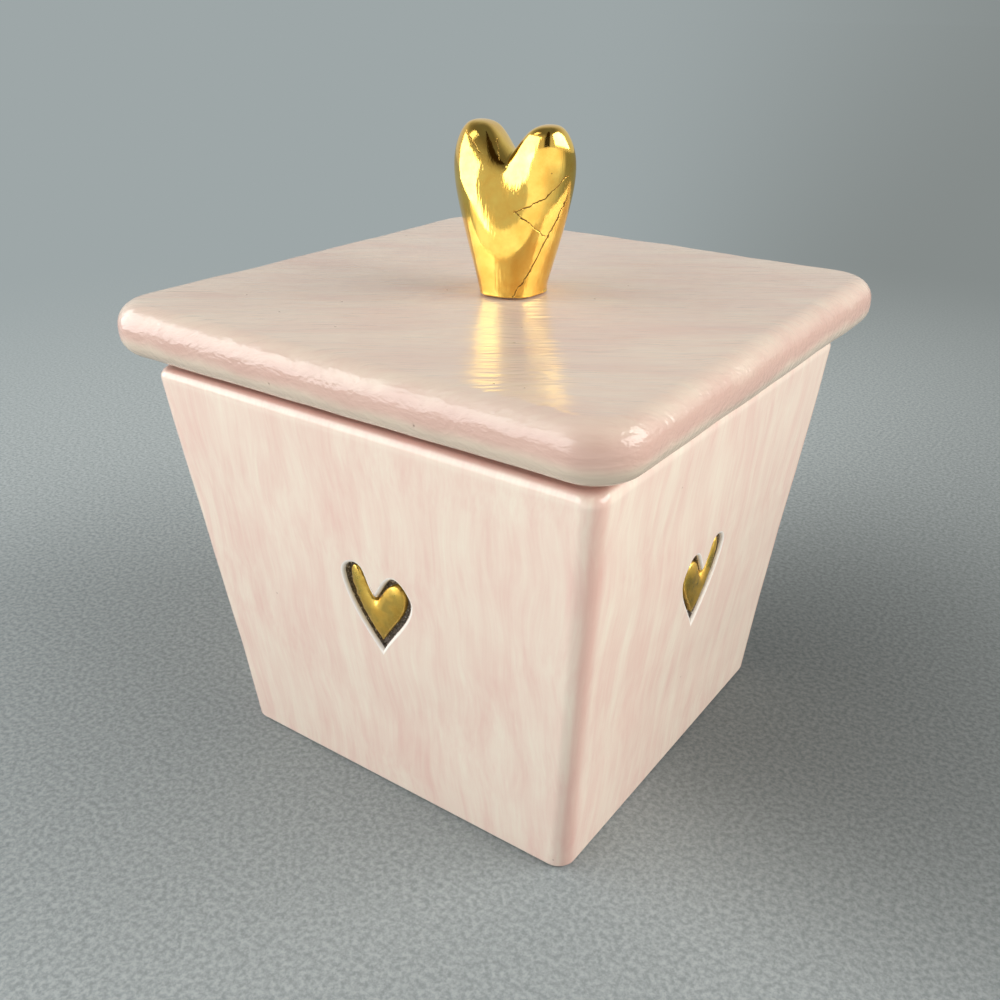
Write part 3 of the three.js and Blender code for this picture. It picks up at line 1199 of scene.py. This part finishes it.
@dataclass
class SlabLid:
    """The loose lid: a rolled slab with soft edges and four locating strips under it."""

    corner_radius: float = 8.0 * MM
    edge_radius: float = 4.0 * MM
    grid: float = 2.4 * MM
    unevenness: float = 0.45 * MM
    strip_width: float = 5.0 * MM
    strip_radius: float = 1.2 * MM
    mitre_gap: float = 0.21 * MM
    hollow_size: float = 16.0 * MM
    strip_hollow_size: float = 9.0 * MM
    knob_seat: Pair = (8.0 * MM, 20.0 * MM)

    def __post_init__(self) -> None:
        """Takes the slab's place from the frame."""
        self.low, self.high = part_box("lid_slab")

    def slab(self, glaze: Material) -> None:
        """Makes the slab.

        Args:
            glaze: Its finish.
        """
        piece = block("glazed_lid", self.low, self.high)
        with editing(piece):
            choose(Kind.EDGE, is_upright)
            round_off(self.corner_radius, 10)
            top, bottom = level_at(self.high.z), level_at(self.low.z)
            choose(Kind.EDGE, lambda e: top(e) or bottom(e))
            round_off(self.edge_radius, 7)
            corner = Vector((self.corner_radius, self.corner_radius, self.edge_radius))
            slice_up(self.low + corner, self.high - corner, self.grid)
        middle = (self.low + self.high) / 2

        def weight(place: Vector) -> float:
            """Leaves the middle, where the knob stands, as it is."""
            return ease((place - middle).xy.length, *self.knob_seat)

        roughen(piece, self.hollow_size, self.unevenness, weight)
        shade_flats(piece)
        piece.data.materials.append(glaze)
        hand_in(piece, "lid", "lid_glaze", "lid_slab")

    def strips(self, glaze: Material) -> None:
        """Makes one mitred strip, and turns copies of it round the lid's middle.

        Args:
            glaze: Their finish.
        """
        low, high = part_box("front_lid_strip")
        middle = (self.low + self.high) / 2
        low.x, high.x = low.x - self.mitre_gap, high.x + self.mitre_gap
        high.y = low.y + self.strip_width
        high.z = self.low.z
        pattern = block("strip", low, high)
        with editing(pattern):
            for end, way in ((low.x, 1.0), (high.x, -1.0)):
                choose(Kind.CORNER, lambda v: abs(v.co.x - end) < MM and v.co.y > high.y - MM)
                bpy.ops.transform.translate(value=(way * self.strip_width, 0.0, 0.0))
            at_low = level_at(low.z)
            long = 2 * self.strip_width
            choose(Kind.EDGE, lambda e: at_low(e) and abs(e.verts[0].co.x - e.verts[1].co.x) > long)
            round_off(self.strip_radius, 4)
            slice_up(low, high, self.grid)
        depth = 0.5 * self.unevenness
        roughen(pattern, self.strip_hollow_size, depth, lambda place: ease(high.z - place.z, 0.0, 2 * MM))
        shade_flats(pattern)
        for turn, side in enumerate(SIDES):
            piece = copy_of(pattern, f"{side}_locating_strip")
            about = Matrix.Translation((middle.x, middle.y, 0.0))
            stand_at(piece, about @ Matrix.Rotation(turn * QUARTER, 4, "Z") @ about.inverted())
            piece.data.materials.append(glaze)
            hand_in(piece, "lid", "lid_glaze", f"{side}_lid_strip")
        bpy.data.objects.remove(pattern)

    def build(self, glaze: Material) -> None:
        """Builds the slab and its strips."""
        self.slab(glaze)
        self.strips(glaze)


@dataclass(frozen=True)
class Level:
    """One level of the knob's stem, in millimetres above its foot and out from its axis."""

    up: float
    half_width: float
    half_depth: float
    pinch: float = 1.0


@dataclass(frozen=True)
class Lobe:
    """One level of a lobe, in millimetres. Its inner side is lifted towards the other lobe."""

    up: float
    middle: float
    half_width: float
    half_depth: float
    lift: float


@dataclass
class HeartKnob:
    """The knob: two fingers of clay that grow from one foot and part into the lobes of a heart."""

    yaw: float = math.radians(17.0)
    stem: tuple[Level, ...] = (
        Level(1.2, 6.1, 6.6),
        Level(6.5, 7.9, 6.8),
        Level(12.0, 9.6, 6.6, 0.97),
        Level(17.2, 10.9, 6.4, 0.72),
    )
    foot: Level = Level(0.0, 5.9, 6.5)
    notch_front: float = 19.6
    notch_up: float = 22.1
    ring: Lobe = Lobe(21.8, 6.3, 4.7, 5.4, 1.2)
    cap: Lobe = Lobe(25.3, 6.4, 2.6, 3.9, 0.1)
    crown: float = 0.55
    twist: float = 1.0
    foot_corner: float = 0.71
    foot_shoulder: float = 0.90
    inner_depth: float = 0.78
    notch_crease: float = 0.8
    foot_crease: float = 0.45
    fineness: int = 4

    def cage(self) -> Piece:
        """Makes the coarse cage that the smooth knob is drawn over, about its own foot.

        Returns:
            The cage, in metres.
        """
        grid = bpy.ops.mesh.primitive_grid_add
        piece = start("gilded_heart_knob", grid, x_subdivisions=4, y_subdivisions=2, size=2 * MM)
        with editing(piece):
            spread(self.foot.half_width, self.foot.half_depth)
            self.round_foot()
            width, depth, up = self.foot.half_width, self.foot.half_depth, 0.0
            for level in self.stem:
                choose(Kind.FACE, faces_up)
                draw_out((0.0, 0.0, (level.up - up) * MM))
                spread(level.half_width / width, level.half_depth / depth)
                width, depth, up = level.half_width, level.half_depth, level.up
            self.part_lobes(up, width, depth)
            self.pinch_fronts()
        return piece

    def round_foot(self) -> None:
        """Draws in the corners of the foot, and what lies halfway to them, so that it is round."""
        half, deep = self.foot.half_width * MM, self.foot.half_depth * MM
        choose(Kind.CORNER, lambda v: abs(v.co.x) > 0.9 * half and abs(v.co.y) > 0.9 * deep)
        spread(self.foot_corner, self.foot_corner)
        choose(Kind.CORNER, lambda v: 0.1 * half < abs(v.co.x) < 0.6 * half and abs(v.co.y) > 0.9 * deep)
        spread(1.0, self.foot_shoulder)

    def part_lobes(self, up: float, width: float, depth: float) -> None:
        """Draws each half of the stem's top up and outwards into a round-ended lobe.

        Args:
            up: Height of the stem's top.
            width: Half of its width.
            depth: Half of its depth.
        """
        for way in (-1.0, 1.0):
            last = Lobe(up, width / 2, width / 2, depth, 0.0)
            choose(Kind.FACE, lambda face: faces_up(face) and way * face.calc_center_median().x > 0
                   and face.calc_center_median().z > (up - 1) * MM)
            for lobe in (self.ring, self.cap):
                draw_out((way * (lobe.middle - last.middle) * MM, 0.0, (lobe.up - last.up) * MM))
                spread(lobe.half_width / last.half_width, lobe.half_depth / last.half_depth)
                bpy.ops.transform.translate(value=(0.0, -way * self.twist * MM, 0.0))
                last = lobe
        for lobe in (self.ring, self.cap):
            at_level, inner = level_at(lobe.up * MM), (lobe.middle - 0.5 * lobe.half_width) * MM
            choose(Kind.CORNER, lambda v: at_level(v) and abs(v.co.x) < inner and abs(v.co.y) > 0.5 * MM)
            spread(1.0, self.inner_depth)
            choose(Kind.CORNER, lambda v: at_level(v) and abs(v.co.x) < inner)
            lift(lobe.lift * MM)
        at_cap = level_at(self.cap.up * MM)
        choose(Kind.CORNER, lambda v: at_cap(v) and len(v.link_faces) == 4
               and all(face.normal.z > 0.7 for face in v.link_faces))
        lift(self.crown * MM)

    def pinch_fronts(self) -> None:
        """Draws in the front and back middles of the upper stem, and lifts the notch between the lobes."""
        for level in self.stem:
            at_level = level_at(level.up * MM)
            choose(Kind.CORNER, lambda v: at_level(v) and abs(v.co.x) < TOUCH and abs(v.co.y) > MM)
            spread(1.0, level.pinch)
        top = self.stem[-1].up
        at_top = level_at(top * MM)
        for up, is_end in ((self.notch_up, False), (self.notch_front, True)):
            choose(Kind.CORNER, lambda v: at_top(v) and abs(v.co.x) < TOUCH and (abs(v.co.y) > MM) == is_end)
            lift((up - top) * MM)
        choose(Kind.EDGE, lambda e: all(abs(v.co.x) < TOUCH and v.co.z > (top - 1) * MM for v in e.verts))
        bpy.ops.transform.edge_crease(value=self.notch_crease)
        choose(Kind.EDGE, level_at(0.0))
        bpy.ops.transform.edge_crease(value=self.foot_crease)

    def build(self, gold: Material) -> None:
        """Builds the knob and stands it on the lid.

        Args:
            gold: Its finish.
        """
        low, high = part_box("heart_knob")
        piece = self.cage()
        with editing(piece):
            bpy.ops.mesh.normals_make_consistent(inside=False)
        surface = piece.modifiers.new("smooth", "SUBSURF")
        surface.levels = surface.render_levels = self.fineness
        apply_modifiers(piece)
        middle = (low + high) / 2
        stand_at(piece, Matrix.Translation((middle.x, middle.y, low.z)) @ Matrix.Rotation(self.yaw, 4, "Z"))
        shade(piece, 60)
        piece.data.materials.append(gold)
        hand_in(piece, "lid", "bright_gold", "heart_knob")


# ---- studio


@dataclass(frozen=True)
class Softbox:
    """One area light that faces the box."""

    name: str
    azimuth: float
    elevation: float
    distance: float
    size: Pair
    power: float
    colour: tuple[float, float, float] = (1.0, 1.0, 1.0)


@dataclass
class Studio:
    """Plain pale floor, soft light and the camera."""

    lens: float = 36.93
    azimuth: float = math.radians(34.789)
    elevation: float = math.radians(26.891)
    roll: float = math.radians(0.532)
    distance: float = 0.1859
    aim: float = 0.0382
    shift: Pair = (-0.01117, 0.01514)
    floor_size: float = 12.0
    floor_grey: Colour = srgb(184, 191, 192)
    floor_dark: Colour = srgb(148, 156, 157)
    backdrop: Colour = srgb(158, 167, 168)
    backdrop_shade: Colour = srgb(134, 140, 139)
    walls: Colour = srgb(204, 205, 202)
    ceiling: Colour = srgb(104, 106, 106)
    # painted light: the far floor on the camera's side glows with this colour, for every ray but the camera's
    lit_paper: Colour = (1.25, 1.2, 1.1, 1.0)
    near_wall: Colour = srgb(46, 36, 18)
    card_colour: Colour = srgb(50, 46, 42)
    card_size: float = 0.2
    card_away: float = 0.34
    paper_ends: Pair = (140.0, 420.0)
    # painted shade on the floor: near the box's foot, and towards the camera's right
    foot_shade: float = 0.25
    foot_shade_reach: Pair = (45.0, 160.0)
    right_shade: float = 0.34
    lights: tuple[Softbox, ...] = (
        Softbox("left_window", -48.0, 19.0, 0.85, (1.3, 0.66), 9.8),
        Softbox("right_window", 112.0, 26.0, 1.0, (0.9, 0.7), 11.0, (1.0, 0.97, 0.93)),
        Softbox("skylight", -50.0, 54.0, 0.85, (0.22, 0.22), 0.3),
    )

    def camera(self) -> None:
        """Adds the camera."""
        data = bpy.data.cameras.new("camera")
        data.lens = self.lens
        data.sensor_width = 36.0
        data.shift_x, data.shift_y = self.shift
        data.clip_start, data.clip_end = 0.005, 50.0
        camera = bpy.data.objects.new("camera", data)
        bpy.context.scene.collection.objects.link(camera)
        right, back = self.right(), direction(self.azimuth, self.elevation)
        up = back.cross(right)
        across = right * math.cos(self.roll) + up * math.sin(self.roll)
        upright = up * math.cos(self.roll) - right * math.sin(self.roll)
        turn = Matrix((across, upright, back)).transposed()
        camera.matrix_world = Matrix.Translation(self.from_middle(back, self.distance)) @ turn.to_4x4()
        bpy.context.scene.camera = camera

    def floor(self) -> None:
        """Adds the floor."""
        plane = start("floor", bpy.ops.mesh.primitive_plane_add, size=self.floor_size)
        coat = Coat("floor_paper")
        distance = coat.measure("LENGTH", coat.place)
        far = coat.fade(distance, *self.paper_ends)
        grain = coat.fade(coat.noise(coat.place, 1.1, 4.0, 0.7), 0.3, 0.7)
        felt = coat.mix(grain, self.floor_dark, self.floor_grey)
        away = coat.vector("NORMALIZE", coat.place)
        # painted shade: the floor is darkened near the box's foot and towards the camera's right
        dim = coat.fade(distance, *self.foot_shade_reach, self.foot_shade, 0.0)
        rightwards = coat.measure("DOT_PRODUCT", away, self.right())
        sideways = coat.fade(rightwards, 0.4, 1.0, 0.0, self.right_shade)
        paper = coat.mix(coat.math("ADD", dim, sideways, clamp=True), felt, BLACK)
        # painted light: beyond the near floor, on the camera's side, the paper glows for rays other than the
        # camera's
        towards = coat.measure("DOT_PRODUCT", away, direction(self.azimuth, 0.0))
        seen = coat.add("LightPath").outputs["Is Camera Ray"]
        lit = coat.math("SUBTRACT", coat.fade(towards, 0.1, 0.5), seen, clamp=True)
        glow = coat.mix(lit, self.distance_colour(coat, away), self.lit_paper)
        coat.feed(coat.shader, {
            "Base Color": coat.mix(far, paper, BLACK), "Roughness": 0.9, "Specular IOR Level": 0.0,
            "Emission Color": coat.mix(far, BLACK, glow), "Emission Strength": 1.0,
        })
        plane.data.materials.append(coat.material)

    def from_middle(self, way: Vector, distance: float) -> Vector:
        """Gives the place at a distance from what the camera aims at."""
        return way * distance + Vector((0, 0, self.aim))

    def right(self) -> Vector:
        """Gives the way to the camera's right."""
        return Vector((math.cos(self.azimuth), math.sin(self.azimuth), 0.0))

    def distance_colour(self, bench: Bench, way: Socket) -> Socket:
        """Gives the plain backdrop's colour one way from the box, a little darker to the right.

        Args:
            bench: The bench of the floor or the room.
            way: Unit vector away from the box.

        Returns:
            The colour's socket.
        """
        share = bench.fade(bench.measure("DOT_PRODUCT", way, self.right()), 0.05, 0.5)
        return bench.mix(share, self.backdrop, self.backdrop_shade)

    def dark_card(self) -> None:
        """Adds the dark card behind the camera that shows only in reflections."""
        away = direction(self.azimuth, self.elevation)
        place = self.from_middle(away, self.card_away)
        card = start("dark_card", bpy.ops.mesh.primitive_plane_add, size=self.card_size, location=place)
        card.rotation_mode = "QUATERNION"
        card.rotation_quaternion = away.to_track_quat("Z", "Y")
        coat = Coat("dark_card")
        coat.feed(coat.shader, {"Base Color": self.card_colour, "Roughness": 0.9})
        card.data.materials.append(coat.material)
        card.visible_camera = card.visible_diffuse = card.visible_shadow = False

    def softboxes(self) -> None:
        """Adds the lights."""
        for box in self.lights:
            data = bpy.data.lights.new(box.name, "AREA")
            data.shape = "RECTANGLE"
            data.size, data.size_y = box.size
            data.energy = box.power
            data.color = box.colour
            light = bpy.data.objects.new(box.name, data)
            away = direction(math.radians(box.azimuth), math.radians(box.elevation))
            light.location = self.from_middle(away, box.distance)
            light.rotation_euler = away.to_track_quat("Z", "Y").to_euler()
            bpy.context.scene.collection.objects.link(light)

    def surroundings(self) -> None:
        """Sets the soft light of the room, and a plain backdrop behind the floor's far edge."""
        world = bpy.data.worlds.new("room")
        world.use_nodes = True
        bpy.context.scene.world = world
        bench = Bench(world.node_tree)
        background = world.node_tree.nodes["Background"]
        way = bench.add("TexCoord").outputs["Generated"]
        ceiling = bench.mix(bench.fade(bench.axis("Z", way), 0.35, 0.9), self.walls, self.ceiling)
        level = bench.vector("NORMALIZE", bench.vector("MULTIPLY", way, (1.0, 1.0, 0.0)))
        near = bench.measure("DOT_PRODUCT", level, direction(self.azimuth, 0.0))
        room = bench.mix(bench.fade(near, 0.90, 0.97), ceiling, self.near_wall)
        seen = bench.add("LightPath").outputs["Is Camera Ray"]
        backdrop = self.distance_colour(bench, way)
        bench.feed(background, {"Color": bench.mix(seen, room, backdrop), "Strength": 1.0})
        bpy.context.scene.view_settings.view_transform = "Standard"

    def build(self) -> None:
        """Builds the floor, the lights and the camera."""
        self.camera()
        self.floor()
        self.dark_card()
        self.softboxes()
        self.surroundings()
        log.info("studio: %d softboxes", len(self.lights))


def direction(azimuth: float, elevation: float) -> Vector:
    """Gives the way from the box to something round it: azimuth 0 is in front, and a quarter to the right."""
    level = math.cos(elevation)
    return Vector((math.sin(azimuth) * level, -math.cos(azimuth) * level, math.sin(elevation)))


# ---- assembly


def main() -> None:
    """Builds the box, its hearts, the lid, the knob and the studio."""
    logging.basicConfig(level=logging.INFO, format="%(name)s: %(message)s")
    effects = Effects()
    body = GlazedBody()
    lid = SlabLid()
    # the third colour stands for thin glaze and for painted shade on the arrises and the rim
    cream, pink, blush_and_shade = srgb(239, 227, 210), srgb(230, 196, 184), srgb(204, 143, 133)
    walls = WallGlaze(
        "pink_glaze", cream, pink, blush_and_shade, stroke_width=1.0, patch_width=3.6, length=24.0,
        ridge_height=0.03, roughness=0.16,
        foot_half=body.foot_half / MM, lean=body.lean, rim=body.height / MM,
    ).material(effects)
    # the lid's edge colours below are darker still, as painted shade on its edge
    top = LidGlaze(
        "lid_glaze", srgb(225, 209, 191), srgb(216, 186, 172), srgb(202, 166, 154),
        stroke_width=2.0, patch_width=6.0, length=26.0, ridge_height=0.17, roughness=0.18,
        stroke_turn=(QUARTER, math.radians(34.8) - QUARTER, 0.0), edge_blush=0.8,
        pooled_and_painted_light=srgb(212, 196, 178), low=lid.low.z / MM, high=lid.high.z / MM,
    ).material(effects)
    # the lips' glaze is gathered glaze, painted paler still as a painted highlight
    lip = BrushedGlaze(
        "lip_glaze_and_painted_highlight", srgb(248, 243, 236), srgb(240, 230, 221), blush_and_shade,
        stroke_width=1.0, patch_width=2.0, length=2.0, ridge_height=0.03, roughness=0.12,
    ).material(effects)
    stain, clay = GrooveStain("groove_stain").material(effects), BareClay("bare_clay").material(effects)
    body.build(walls, stain, lip, clay)
    dull = GoldLustre("dull_gold", srgb(250, 212, 108), srgb(198, 150, 56), 0.36, 2.2, 0.05).material(effects)
    PressedHearts(body.stamp, body.foot_half, body.slope).build(dull)
    lid.build(top)
    bright = GoldLustre(
        "bright_gold", srgb(255, 218, 112), srgb(240, 174, 68), 0.08, 3.0, 0.022, KNOB_CRACKS,
        facing=Studio.azimuth, wrinkled_below=84.0,
    ).material(effects)
    HeartKnob().build(bright)
    Studio().build()


if __name__ == "__main__":
    main()
